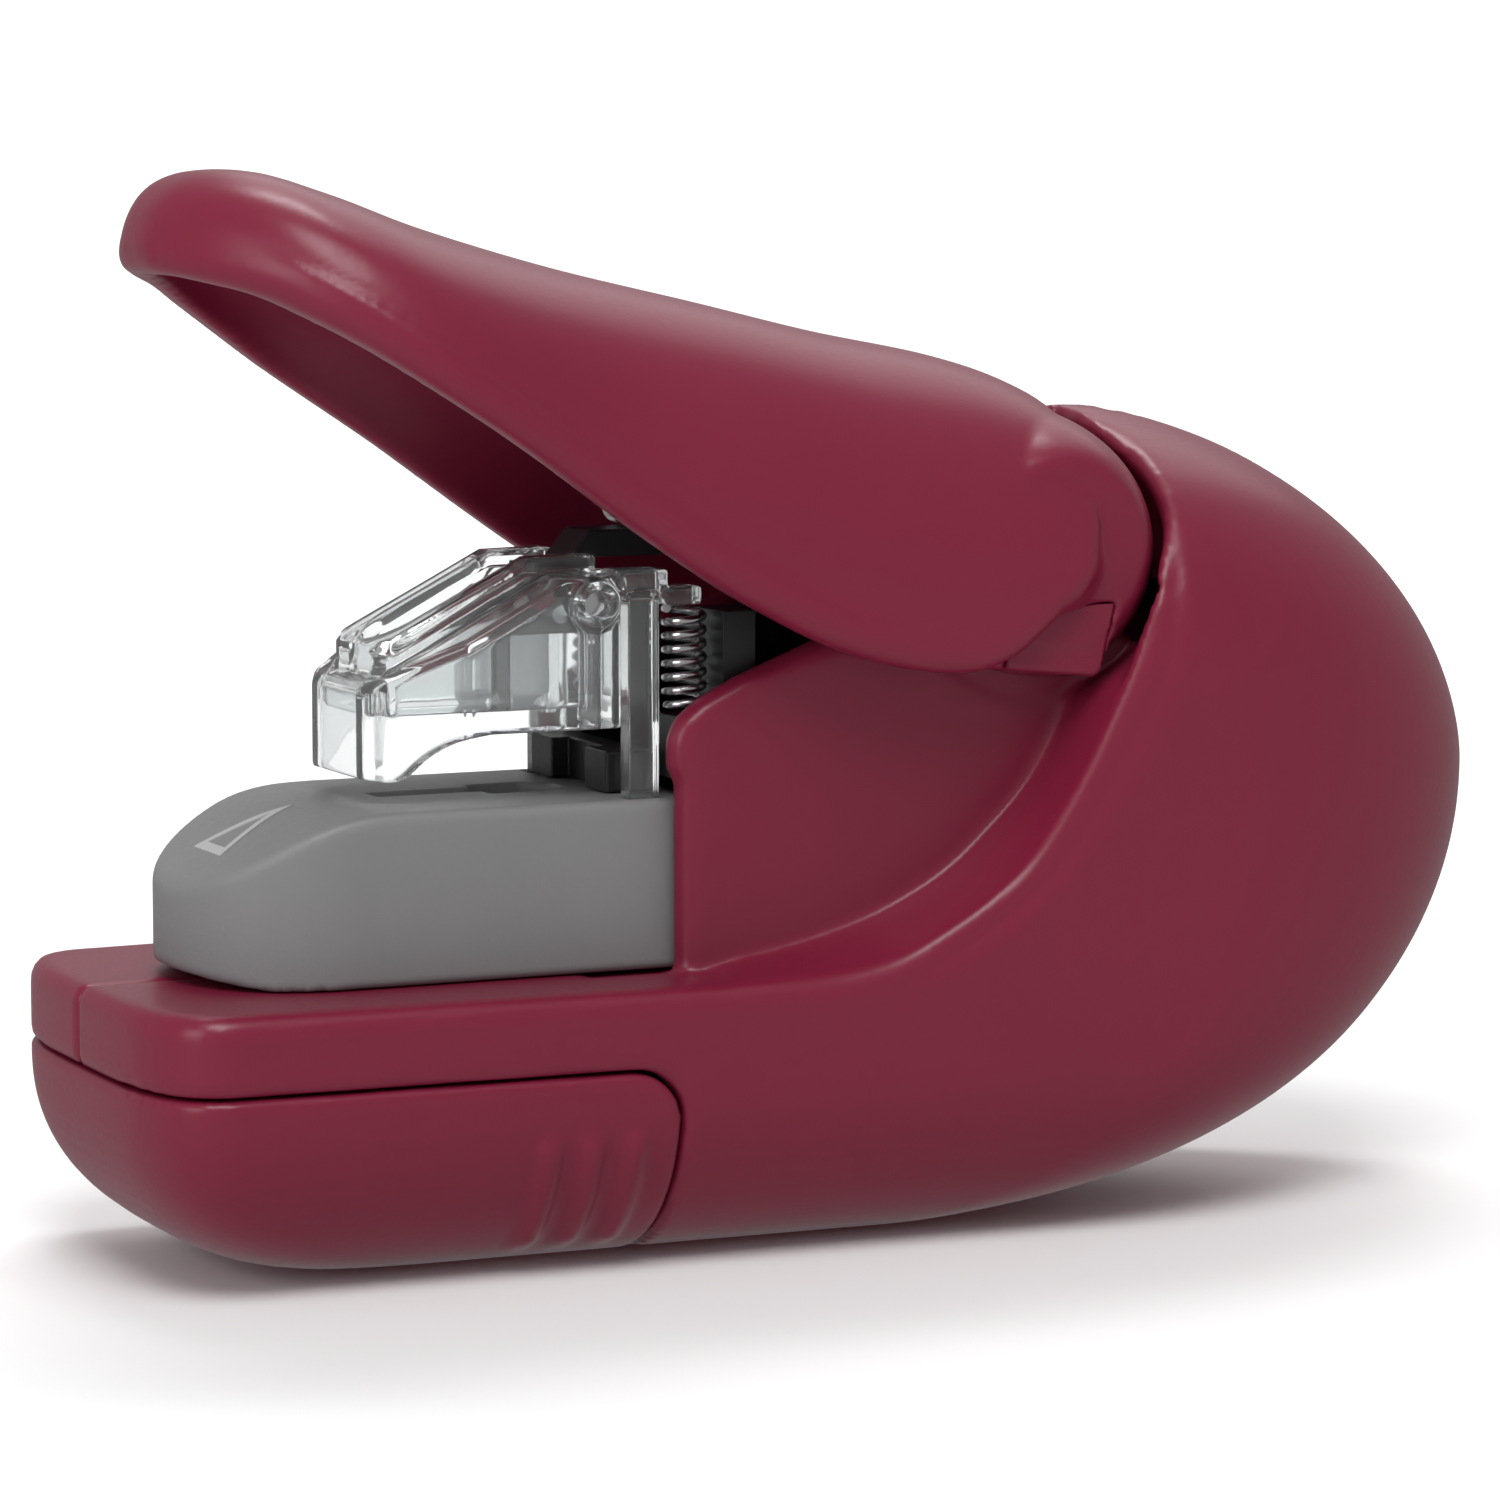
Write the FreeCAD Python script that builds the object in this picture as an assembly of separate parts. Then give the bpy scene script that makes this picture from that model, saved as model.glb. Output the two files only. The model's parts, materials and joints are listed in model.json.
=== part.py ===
import FreeCAD, Part
import math
import os

# Hand-held staple-free stapler. +X points to the nose, +Y to the left side, +Z up.
# The origin is the middle of the base's footprint. Places along the length are given
# as the distance back from the nose, because the profile was designed from there.

Vector = FreeCAD.Vector

# ---- driving dimensions, millimetres ----
LENGTH = 96.0
PLATFORM_Z = 17.7
HULL_TOP_Z = 51.6
WIDEST_Z = 27.7
SHOULDER_Z = 34.0
SIDE_AT_NOSE = 15.4
SIDE_MAX = 18.0
SIDE_MAX_AT = 66.0
BELLY_RADIUS = 11.5
NOSE_POWER, TAIL_POWER, CROWN_POWER = 3.4, 1.9, 2.3
SHELL_WALL = 2.3
NECK_HALF = 11.7
CHANNEL_HALF = 9.6
NECK_FRONT = 35.0
HINGE_AT, HINGE_Z = 59.2, 43.0
PIN_RADIUS = 1.6
DRUM_RADIUS = 9.2
DRUM_CAVITY = 7.3
DRUM_HALF = 15.5
DRUM_ROUND_HALF = 16.9
DRUM_CAVITY_HALF = 12.1
DRUM_GAP = 0.45
POCKET_LOW_TOP_Z = 40.5
SIDE_PLATE_REACH = 8.6
CORE_RADIUS = 4.3
COVER_TOP_Z = 12.7
COVER_END = 32.8
SEAM_GAP = 0.2
ANVIL_HALF = 9.3
ANVIL_TOP_Z = 28.4
HANDLE_WALL = 2.0
THROAT_Z = 32.6
PUNCH_BACK = 27.4
ARM_LOW_Z = 42.7
ARM_TOP_Z = 44.4
# Case screws: distance back and height.
SCREW_PLACES = [(74.0, 9.0), (84.0, 24.0), (72.0, 43.0)]


# ---- helpers ----
def point(back, y, z):
    """A point from its distance back from the nose, its side place and its height."""
    return Vector(LENGTH / 2 - back, y, z)


def block(back, y, z):
    """A box from three (low, high) pairs."""
    corner = point(back[1], y[0], z[0])
    return Part.makeBox(back[1] - back[0], y[1] - y[0], z[1] - z[0], corner)


def upright(back, y, z, radius):
    """A vertical round bar between two heights."""
    return Part.makeCylinder(radius, z[1] - z[0], point(back, y, z[0]))


def crossbar(back, z, radius, y):
    """A round bar along the hinge direction."""
    return Part.makeCylinder(radius, y[1] - y[0], point(back, y[0], z), Vector(0, 1, 0))


def segments(corners, y):
    """Straight edges through (back, z) corners in one side plane."""
    spots = [point(back, y, z) for back, z in corners]
    return [Part.makeLine(a, b) for a, b in zip(spots, spots[1:])]


def side_curve(spots, y):
    """A smooth edge through (back, z) spots in one side plane."""
    curve = Part.BSplineCurve()
    curve.interpolate([point(back, y, z) for back, z in spots])
    return curve.toShape()


def side_prism(corners, y):
    """A polygon in side view, pushed between two side planes."""
    wire = Part.Wire(segments(corners + corners[:1], y[0]))
    return Part.Face(wire).extrude(Vector(0, y[1] - y[0], 0))


def rounded(shape, radius, wanted):
    """The shape with the edges that the test picks rounded, if the kernel can do it."""
    edges = [edge for edge in shape.Edges if wanted(edge)]
    if not edges:
        return shape
    try:
        result = shape.makeFillet(radius, edges)
    except Exception:
        return shape
    return result if result.isValid() and result.Volume > 0 else shape


def both_sides(shape):
    """The shape together with its mirror image across the middle plane."""
    return shape.fuse(shape.mirror(Vector(0, 0, 0), Vector(0, 1, 0)))


def pair(shape):
    """The shape and its mirror image, as separate solids."""
    return Part.makeCompound([shape, shape.mirror(Vector(0, 0, 0), Vector(0, 1, 0))])


def bulge(share, power):
    """1 in the middle, falling to 0 at a share of 1, along a superellipse."""
    share = min(max(share, 0.0), 1.0)
    return (1 - share**power) ** (1 / power)


# ---- the body's outer form ----
def nose_back(z):
    return 17.4 * (1 - bulge((12.6 - z) / 12.6, 2.56))


def tail_back(z):
    if z < WIDEST_Z:
        return 53.0 + (LENGTH - 53.0) * bulge((WIDEST_Z - z) / WIDEST_Z, 2.09)
    return SIDE_MAX_AT + (LENGTH - SIDE_MAX_AT) * bulge((z - WIDEST_Z) / (HULL_TOP_Z - WIDEST_Z), 1.76)


def side_half(back, z):
    """Half-width of the side wall, before the nose and tail are rounded in."""
    half = SIDE_AT_NOSE + (SIDE_MAX - SIDE_AT_NOSE) * min(back / SIDE_MAX_AT, 1.0)
    if z < BELLY_RADIUS:
        half -= BELLY_RADIUS - math.sqrt(BELLY_RADIUS**2 - (BELLY_RADIUS - z) ** 2)
    return half * bulge((z - SHOULDER_Z) / (HULL_TOP_Z - SHOULDER_Z), CROWN_POWER)


def outline(z, inset):
    """Closed plan outline of the body at one height, moved in by inset."""
    start = nose_back(z) + inset
    end = tail_back(z) - inset
    nose = 6.3 + 0.3 * start
    tail = 0.386 * (end - 29.0)
    half = []
    for degrees in (0, 20, 40, 60, 80):
        turn = math.radians(degrees)
        back = start + nose * (1 - math.cos(turn) ** (2 / NOSE_POWER))
        half.append((back, math.sin(turn) ** (2 / NOSE_POWER) * (side_half(back, z) - inset)))
    first, last = start + nose, end - tail
    for share in (0.0, 0.33, 0.67, 1.0):
        back = first + share * (last - first)
        half.append((back, side_half(back, z) - inset))
    for degrees in (70, 50, 30, 14, 0):
        turn = math.radians(degrees)
        back = end - tail * (1 - math.cos(turn) ** (2 / TAIL_POWER))
        half.append((back, math.sin(turn) ** (2 / TAIL_POWER) * (side_half(back, z) - inset)))
    left = [point(back, y, z) for back, y in half]
    right = [point(back, -y, z) for back, y in reversed(half[1:-1])]
    curve = Part.BSplineCurve()
    curve.interpolate(Points=left + right, PeriodicFlag=True)
    return Part.Wire([curve.toShape()])


def outward(solid):
    """The solid with its faces turned outward."""
    if solid.Volume < 0:
        solid.reverse()
    return solid


def form(levels, inset=0.0):
    return outward(Part.makeLoft([outline(z, inset) for z in levels], True, False))


OUTER_LEVELS = (0.0, 0.5, 1.6, 3.4, 6.0, 9.5, 13.0, 18.0, 24.0, 30.0, 36.0, 40.5, 44.5, 47.5,
                49.7, 51.0)
INNER_LEVELS = (2.3, 4.5, 8.0, 13.0, 20.0, 28.0, 36.0, 41.5, 45.5, 48.6)

# Side-view lines where the open front meets the body, from the platform up to the top.
RIM = [(36, 17.7), (41.4, 17.75), (44.4, 17.95), (47.4, 18.6), (50.2, 19.9), (53.6, 21.9), (56.6, 24.5),
       (60.0, 29.4), (62.2, 34.2), (63.6, 38.0), (64.4, 41.5), (64.7, 45.0), (65.2, 48.0), (66.0, 51.0),
       (66.4, 56.0)]
FLARE = [(36, 17.6), (41.4, 17.5), (45.0, 17.4), (49.2, 17.9), (52.6, 19.0), (56.4, 21.0), (59.8, 23.7),
         (63.8, 28.4), (67.0, 34.0), (68.9, 39.0), (69.0, 43.5), (68.2, 48.0), (67.4, 56.0)]
PANEL = [(36, 17.7), (38.4, 18.3), (41.2, 18.8), (44.6, 19.6), (48.4, 20.8), (52.3, 22.7), (55.3, 25.0),
         (58.9, 28.6), (61.6, 33.6), (63.6, 38.2), (65.4, 42.8), (66.2, 48.0), (66.4, 56.0)]


def mouth_wire(line, y):
    """The region in front of a rim line, as a closed wire in one side plane."""
    start, end = line[0], line[-1]
    rest = segments([end, (-6.0, end[1]), (-6.0, start[1]), start], y)
    return Part.Wire([side_curve(line, y)] + rest)


def mouth_cut():
    """All that is taken off beside the neck: wall to the rim, then the flared ledge."""
    inner = outward(Part.makeLoft([mouth_wire(PANEL, NECK_HALF), mouth_wire(RIM, 17.0)], True, True))
    outer = outward(Part.makeLoft([mouth_wire(RIM, 17.0), mouth_wire(FLARE, 20.5)], True, True))
    return pair(inner.fuse(outer))


def core_outline():
    """Side view of the neck's walls: throat edge, slope, round ears and foot."""
    spots = [(NECK_FRONT, 10.0), (NECK_FRONT, 29.4), (34.5, 30.4), (34.5, 32.1), (35.1, 33.4), (36.5, 34.5),
             (39.1, 35.8), (44.3, 37.8), (50.5, 40.2)]
    for degrees in range(0, 221, 20):
        turn = math.radians(degrees)
        spots.append((HINGE_AT - CORE_RADIUS * math.cos(turn), HINGE_Z + CORE_RADIUS * math.sin(turn)))
    spots += [(68.0, 36.2), (68.0, 10.0)]
    return spots


def neck_front_cut():
    """What is taken off the middle, in front of and above the neck's walls."""
    spots = core_outline()
    keep = side_prism(spots, (-NECK_HALF, NECK_HALF))
    corners = [(-6, PLATFORM_Z), (66.2, PLATFORM_Z), (66.2, 60), (-6, 60)]
    region = side_prism(corners, (-NECK_HALF, NECK_HALF))
    return region.cut(keep)


def drum_round(grow, half):
    """Barrel round the hinge: full in the middle and smaller towards its ends, grown by a gap."""
    rim = []
    for count in range(13):
        y = half * (count / 6.0 - 1)
        rim.append((DRUM_RADIUS * bulge(abs(y) / DRUM_ROUND_HALF, 3.0) + grow, y))
    edge = Part.BSplineCurve()
    edge.interpolate([point(HINGE_AT - out, y, HINGE_Z) for out, y in rim])
    ends = [point(HINGE_AT, half, HINGE_Z), point(HINGE_AT, -half, HINGE_Z)]
    last, first = point(HINGE_AT - rim[-1][0], half, HINGE_Z), point(HINGE_AT - rim[0][0], -half, HINGE_Z)
    sides = [Part.makeLine(last, ends[0]), Part.makeLine(ends[0], ends[1]), Part.makeLine(ends[1], first)]
    section = Part.Face(Part.Wire([edge.toShape()] + sides))
    return outward(section.revolve(point(HINGE_AT, 0, HINGE_Z), Vector(0, 1, 0), 360))


def drum_pocket():
    """Room for the turning drum, less the neck's own round ears and foot."""
    pocket = drum_round(DRUM_GAP, DRUM_HALF + 0.4)
    low = crossbar(HINGE_AT, HINGE_Z, SIDE_PLATE_REACH, (-DRUM_HALF - 0.4, DRUM_HALF + 0.4))
    pocket = pocket.fuse(low.common(block((40, 80), (-20, 20), (30, POCKET_LOW_TOP_Z))))
    keep = side_prism(core_outline(), (-NECK_HALF, NECK_HALF))
    return pocket.cut(keep)


def channel():
    """The open slot between the neck's walls, from the throat back into the bulge."""
    corners = [(34.0, PLATFORM_Z), (34.0, 60.0), (66.0, 60.0),
               (66.0, 38.6), (70.0, 36.0), (70.0, PLATFORM_Z)]
    return side_prism(corners, (-CHANNEL_HALF, CHANNEL_HALF))


def inner_space():
    """The hollow of the body below the platform and behind the rim."""
    hollow = form(INNER_LEVELS, SHELL_WALL)
    front = [(-6, 15.4), (41, 15.4), (47, 16.2), (52, 18.4), (56.5, 21.4), (60.5, 26), (63.6, 31.5),
             (66.6, 37), (69.4, 41.5), (70.2, 56), (-6, 56)]
    return hollow.cut(side_prism(front, (-25, 25)))


def cover_region(gap):
    """Side-view region of the removable bottom cover, grown by a gap."""
    top, end, radius = COVER_TOP_Z + gap, COVER_END + gap, 3.2
    corners = [(-6, -2), (end, -2), (end, top - radius)]
    for degrees in (22.5, 45, 67.5):
        turn = math.radians(degrees)
        corners.append((end - radius + radius * math.cos(turn), top - radius + radius * math.sin(turn)))
    corners += [(end - radius, top), (-6, top)]
    return side_prism(corners, (-25, 25))


def body():
    shape = form(OUTER_LEVELS)
    shape = shape.cut(mouth_cut())
    shape = shape.cut(neck_front_cut())
    shape = shape.cut(drum_pocket())
    shape = shape.cut(inner_space())
    shape = shape.cut(channel())
    bay_wall = block((33.2, 35.2), (-25, 25), (1.0, 15.6)).common(form(OUTER_LEVELS, 0.3))
    shape = shape.fuse(bay_wall)
    return shape.cut(cover_region(SEAM_GAP))


def shell(side):
    """Left (+1) or right (-1) half of the body, with its rail, bosses and screw posts."""
    low, high = (0.03, 25) if side > 0 else (-25, -0.03)
    half = body().common(block((-2, 98), (low, high), (-1, 60)))
    near, far = sorted((7.0 * side, 8.5 * side))
    rail = block((6, 31), (near, far), (9.0, 15.8))
    near, far = sorted((7.0 * side, 10.0 * side))
    rail = rail.fuse(block((6, 31), (near, far), (9.0, 10.2)))
    half = half.fuse(rail)
    for back, z in SCREW_PLACES:
        y = (0.03, 18.0) if side > 0 else (-18.0, -0.03)
        post = crossbar(back, z, 2.6, y).common(form(OUTER_LEVELS, 0.4))
        half = half.fuse(post)
    for back, z in SCREW_PLACES:
        y = (0.0, 9.0) if side > 0 else (-25.0, 0.0)
        half = half.cut(crossbar(back, z, 0.9, y))
        if side < 0:
            half = half.cut(crossbar(back, z, 1.9, (-25.0, -8.0)))
    bore = crossbar(HINGE_AT, HINGE_Z, PIN_RADIUS, (-NECK_HALF - 1, NECK_HALF + 1))
    return half.cut(bore).cut(anvil_screws()).cut(frame_screws())


def case_screws():
    """Three self-tapping screws that hold the halves together, from the right side."""
    parts = []
    for back, z in SCREW_PLACES:
        shank = crossbar(back, z, 0.88, (-8.0, 8.0))
        top = crossbar(back, z, 1.7, (-9.4, -8.0))
        cross = block((back - 1.1, back + 1.1), (-9.5, -8.8), (z - 0.25, z + 0.25))
        cross = cross.fuse(block((back - 0.25, back + 0.25), (-9.5, -8.8), (z - 1.1, z + 1.1)))
        parts.append(shank.fuse(top).cut(cross))
    return Part.makeCompound(parts)


def bottom_cover():
    """The removable belly cover: a tray with side hooks and grip ridges."""
    shape = form(OUTER_LEVELS).common(cover_region(0.0))
    shape = shape.cut(form(INNER_LEVELS, 2.0).common(block((-2, 60), (-25, 25), (2.3, 30))))
    hook = block((8, 29), (8.9, 16.0), (10.5, 12.3)).common(form(OUTER_LEVELS, 0.5))
    shape = shape.fuse(both_sides(hook))
    skin = form(OUTER_LEVELS, -0.45).cut(form(OUTER_LEVELS, 0.5))
    for back in (24.4, 27.1, 29.8):
        ridge = skin.common(block((back - 0.75, back + 0.75), (6, 25), (1.4, 9.0)))
        shape = shape.fuse(both_sides(ridge))
    return shape


# ---- the gray anvil ----
def anvil_plan(inset):
    """Plan outline of the anvil block: a rounded front and a square rear."""
    start, cap, half = 5.7 + inset, 9.5, ANVIL_HALF - inset
    spots = []
    for degrees in (0, 22, 44, 66, 90):
        turn = math.radians(degrees)
        spots.append((start + cap * (1 - math.cos(turn) ** (2 / 2.3)), half * math.sin(turn) ** (2 / 2.3)))
    left = [point(back, y, 0) for back, y in spots]
    right = [point(back, -y, 0) for back, y in spots[1:]]
    curve = Part.BSplineCurve()
    curve.interpolate(right[::-1] + left)
    rear = 37.6 - inset
    edges = [curve.toShape()]
    spots = [left[-1], point(rear, half, 0), point(rear, -half, 0), right[-1]]
    edges += [Part.makeLine(a, b) for a, b in zip(spots, spots[1:])]
    return Part.Face(Part.Wire(edges))


def slot_plan(grow):
    """Keyhole slot: narrow in front, wide behind, with a short taper at its rear end."""
    wide, narrow = 2.3 + grow, 1.0 + grow
    spots = [(19.3 - grow, -narrow), (26.2, -narrow), (26.2 - grow, -wide), (29.9, -wide),
             (31.4 + grow, -narrow)]
    corners = spots + [(back, -y) for back, y in reversed(spots)]
    ring = [point(back, y, 0) for back, y in corners + corners[:1]]
    return Part.Face(Part.makePolygon(ring))


def slope_cut(lower):
    """What the sloping nose and flat top of the anvil leave off."""
    spots = [(-2.0, 19.5), (3.0, 22.2), (6.0, 24.0), (9.2, 25.9), (12.6, 27.55), (15.5, 28.25),
             (18.5, ANVIL_TOP_Z)]
    edge = side_curve([(back, z - lower) for back, z in spots], -20)
    rest = segments([(18.5, ANVIL_TOP_Z - lower), (40, ANVIL_TOP_Z - lower), (40, 40), (-2, 40),
                     (-2.0, 19.5 - lower)], -20)
    return Part.Face(Part.Wire([edge] + rest)).extrude(Vector(0, 40, 0))


def anvil_block():
    base_z = PLATFORM_Z + 0.1
    shape = anvil_plan(0.0).extrude(Vector(0, 0, 15))
    shape.translate(Vector(0, 0, base_z))
    shape = shape.cut(slope_cut(0.0))
    shape = rounded(shape, 0.6, lambda edge: edge.BoundBox.ZMin > 20 and edge.BoundBox.XLength > 4)
    pocket = anvil_plan(2.2).extrude(Vector(0, 0, 8.2))
    pocket.translate(Vector(0, 0, base_z - 0.1))
    shape = shape.cut(pocket.common(block((17.5, 34.5), (-8, 8), (0, 40))))
    slot = slot_plan(0.0).extrude(Vector(0, 0, 20))
    slot.translate(Vector(0, 0, base_z - 1))
    shape = shape.cut(slot)
    for side in (-1, 1):
        y = sorted((6.35 * side, 8.55 * side))
        shape = shape.cut(block((32.7, 35.3), y, (25.0, 40)))
    lift = side_prism([(0, 17), (9.2, 17), (5.0, 18.7), (0, 18.7)], (-12, 12))
    return shape.cut(lift).cut(anvil_screws()).cut(arrow_mark())


def die_plate():
    """Steel cutting plate held under the anvil's top, with the same keyhole."""
    plate = block((18.2, 34.2), (-6.1, 6.1), (24.6, 25.85))
    slot = slot_plan(0.02).extrude(Vector(0, 0, 40))
    return plate.cut(slot)


def arrow_mark():
    """Outline triangle inlaid on the anvil's slope, pointing back to the slot."""
    def triangle(base, apex, half):
        spots = [point(base, -half, 0), point(base, half, 0), point(apex, 0, 0), point(base, -half, 0)]
        prism = Part.Face(Part.makePolygon(spots)).extrude(Vector(0, 0, 40))
        return prism
    ring = triangle(8.3, 13.9, 2.4).cut(triangle(8.9, 12.4, 1.55))
    return ring.common(slope_cut(0.06)).cut(slope_cut(-0.08))


def anvil_screws():
    """Two screws up through the platform into the anvil."""
    parts = []
    for back in (13.0, 36.2):
        shank = upright(back, 0, (14.0, 22.0), 0.98)
        parts.append(shank.fuse(upright(back, 0, (13.2, 15.3), 1.9)))
    return Part.makeCompound(parts)


# ---- frame inside the neck ----
def inner_frame():
    """Black frame: base, two cheeks with round ears, and the spring seats."""
    corners = [(38.2, 17.9), (38.2, 33.2), (44.3, 36.8), (50.5, 39.4)]
    for degrees in range(0, 221, 20):
        turn = math.radians(degrees)
        corners.append((HINGE_AT - CORE_RADIUS * math.cos(turn), HINGE_Z + CORE_RADIUS * math.sin(turn)))
    corners += [(64.5, 34.0), (64.5, 17.9)]
    shape = side_prism(corners, (7.9, 9.4))
    shape = both_sides(shape)
    shape = shape.fuse(block((38.2, 64.5), (-9.4, 9.4), (17.9, 19.6)))
    shape = shape.fuse(both_sides(block((35.6, 38.6), (5.6, 9.3), (29.4, 33.3))))
    shape = shape.fuse(both_sides(block((38.6, 40.8), (5.0, 9.4), (27.0, 39.7))))
    shape = shape.cut(frame_screws())
    bore = crossbar(HINGE_AT, HINGE_Z, PIN_RADIUS, (-12, 12))
    return shape.cut(bore)


def frame_screws():
    """Two pan screws that hold the frame's base down."""
    parts = []
    for back in (44.0, 58.0):
        shank = upright(back, 0, (15.0, 19.6), 0.98)
        parts.append(shank.fuse(upright(back, 0, (19.6, 20.9), 1.9)))
    return Part.makeCompound(parts)


def paper_stop():
    """Black wall at the back of the throat that squares up the sheets."""
    shape = block((32.2, 35.2), (-6.0, 6.0), (ANVIL_TOP_Z + 0.05, 31.0))
    return shape.cut(block((30.0, 33.4), (-2.6, 2.6), (20, 40)))


def pivot_pin():
    return crossbar(HINGE_AT, HINGE_Z, PIN_RADIUS, (-DRUM_HALF + 1.7, DRUM_HALF - 1.7))


def coil(back, y, z, radius, wire, turns):
    """A compression spring standing upright, with its ends cut level."""
    pitch = (z[1] - z[0]) / turns
    path = Part.makeHelix(pitch, z[1] - z[0], radius)
    ring = Part.Wire(Part.makeCircle(wire, Vector(radius, 0, 0), Vector(0, 1, 0)))
    spring = Part.Wire(path).makePipeShell([ring], True, True)
    spring.translate(point(back, y, z[0]))
    return outward(spring)


def return_springs():
    """Two springs that lift the clear head after each stroke."""
    return pair(coil(36.9, 7.3, (33.85, 39.85), 1.15, 0.28, 7))


def torsion_spring():
    """Coil round the hinge pin, with one leg on the frame and one under the lever."""
    rings = []
    for count in range(5):
        y = 4.6 + 0.62 * count
        ring = crossbar(HINGE_AT, HINGE_Z, 2.5, (y, y + 0.5))
        rings.append(ring.cut(crossbar(HINGE_AT, HINGE_Z, 1.95, (y - 1, y + 1.5))))
    body_shape = rings[0]
    for ring in rings[1:]:
        body_shape = body_shape.fuse(ring)
    bridge = block((HINGE_AT - 0.3, HINGE_AT + 0.3), (4.6, 7.58), (HINGE_Z - 2.5, HINGE_Z - 1.95))
    leg = block((HINGE_AT + 1.9, HINGE_AT + 2.45), (7.08, 7.58), (22.0, HINGE_Z))
    return body_shape.fuse(bridge).fuse(leg)


# ---- handle ----
# Distance back, top height, half-width and depth of the rounded crown.
HANDLE_STATIONS = [
    (4.2, 63.2, 3.4, 2.0),
    (5.2, 65.1, 5.9, 3.8),
    (7.2, 66.4, 8.9, 5.8),
    (10.0, 66.8, 11.8, 7.2),
    (13.0, 66.2, 13.9, 8.2),
    (16.0, 65.2, 15.0, 9.1),
    (21.0, 63.3, 15.8, 10.4),
    (30.0, 60.8, 15.6, 13.0),
    (40.0, 58.5, 16.3, 15.8),
    (48.0, 56.6, 17.0, 16.6),
    (56.0, 55.0, 17.2, 15.6),
    (61.0, 53.3, 16.9, 14.0),
    (66.0, 50.3, 15.8, 11.0),
]
HANDLE_LOW = [(2.5, 61.2), (5, 60.5), (8.5, 59.5), (11.2, 58.1), (14.2, 56.3), (17.7, 54.0), (21.4, 51.6),
              (25, 49.2), (28.2, 46.9), (31.6, 44.5), (35.8, 41.7), (39.5, 39.6), (42.5, 38.1), (45.5, 37.0),
              (49, 36.2), (52.4, 36.0), (55.2, 36.8), (57.4, 38.4), (59.6, 40.4), (61.2, 42.6), (61.9, 45.0),
              (62.3, 48.0), (62.6, 52.0), (62.7, 58.0)]


def crown(station, inset):
    """Cross-section of the handle at one station: rounded crown and straight skirts."""
    back, top, half, depth = station
    half -= inset
    top -= inset
    back += inset if back < 8 else 0
    spots = []
    for degrees in (90, 74, 58, 42, 28, 14, 0):
        turn = math.radians(degrees)
        y = half * math.sin(turn) ** (2 / 2.4)
        z = top - depth * (1 - math.cos(turn) ** (2 / 2.4))
        spots.append((y, z))
    left = [point(back, y, z) for y, z in spots]
    right = [point(back, -y, z) for y, z in reversed(spots[:-1])]
    curve = Part.BSplineCurve()
    curve.interpolate(left + right)
    foot = 26.0
    low = [right[-1], point(back, -half, foot), point(back, half, foot), left[0]]
    return Part.Wire([curve.toShape()] + [Part.makeLine(a, b) for a, b in zip(low, low[1:])])


def handle_form(inset):
    return outward(Part.makeLoft([crown(station, inset) for station in HANDLE_STATIONS], True, False))


def handle_region():
    """Side-view region above the handle's lower edge and in front of its rear edge."""
    start, end = HANDLE_LOW[0], HANDLE_LOW[-1]
    rest = segments([end, (end[0], 75), (start[0], 75), start], -25)
    return Part.Face(Part.Wire([side_curve(HANDLE_LOW, -25)] + rest)).extrude(Vector(0, 50, 0))


def handle_shell():
    shape = handle_form(0.0).common(handle_region())
    shape = shape.cut(handle_form(HANDLE_WALL))
    dimple = Part.makeSphere(8.0, point(11.4, 20.4, 65.6))
    return shape.cut(pair(dimple))


def side_plate():
    """Flat lower side of the drum, down to its straight lower edge."""
    corners = [(50.6, 36.4), (61.6, 35.2), (62.3, 35.7), (63.3, 39.9), (63.7, 43.0), (59.2, 47.0),
               (52.0, 44.0)]
    return side_prism(corners, (DRUM_CAVITY_HALF, DRUM_HALF))


def handle_drum():
    """Curved shield and two end walls that turn with the handle inside the rim."""
    barrel = drum_round(0.0, DRUM_HALF)
    fan = [(HINGE_AT, HINGE_Z)]
    for degrees in (75, 110, 145, 180, 212):
        turn = math.radians(degrees)
        fan.append((HINGE_AT - 20 * math.cos(turn), HINGE_Z + 20 * math.sin(turn)))
    middle = (-DRUM_CAVITY_HALF, DRUM_CAVITY_HALF)
    shield = barrel.common(side_prism(fan, middle)).cut(crossbar(HINGE_AT, HINGE_Z, DRUM_CAVITY, middle))
    end = barrel.common(block((40, 80), (DRUM_CAVITY_HALF, 20), (35.2, 60))).fuse(side_plate())
    shape = shield.fuse(both_sides(end))
    bore = crossbar(HINGE_AT, HINGE_Z, PIN_RADIUS + 0.05, (-DRUM_HALF + 1.6, DRUM_HALF - 1.6))
    return shape.cut(handle_shell()).cut(bore).cut(pair(cap_blank(0.1)))


def cap_blank(grow):
    """Plate let into the lower rear of each end wall of the drum."""
    corners = [(57.5 - grow, 39.8 + grow), (62.6 + grow, 39.8 + grow), (61.4 + grow, 33), (57.5 - grow, 33)]
    return side_prism(corners, (DRUM_HALF - 1.0 - grow, DRUM_HALF + 1))


def pivot_caps():
    end = drum_round(0.0, DRUM_HALF).common(block((40, 80), (DRUM_CAVITY_HALF, 20), (35.2, 60)))
    return pair(end.fuse(side_plate()).common(cap_blank(0.0)).cut(handle_shell()))


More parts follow.
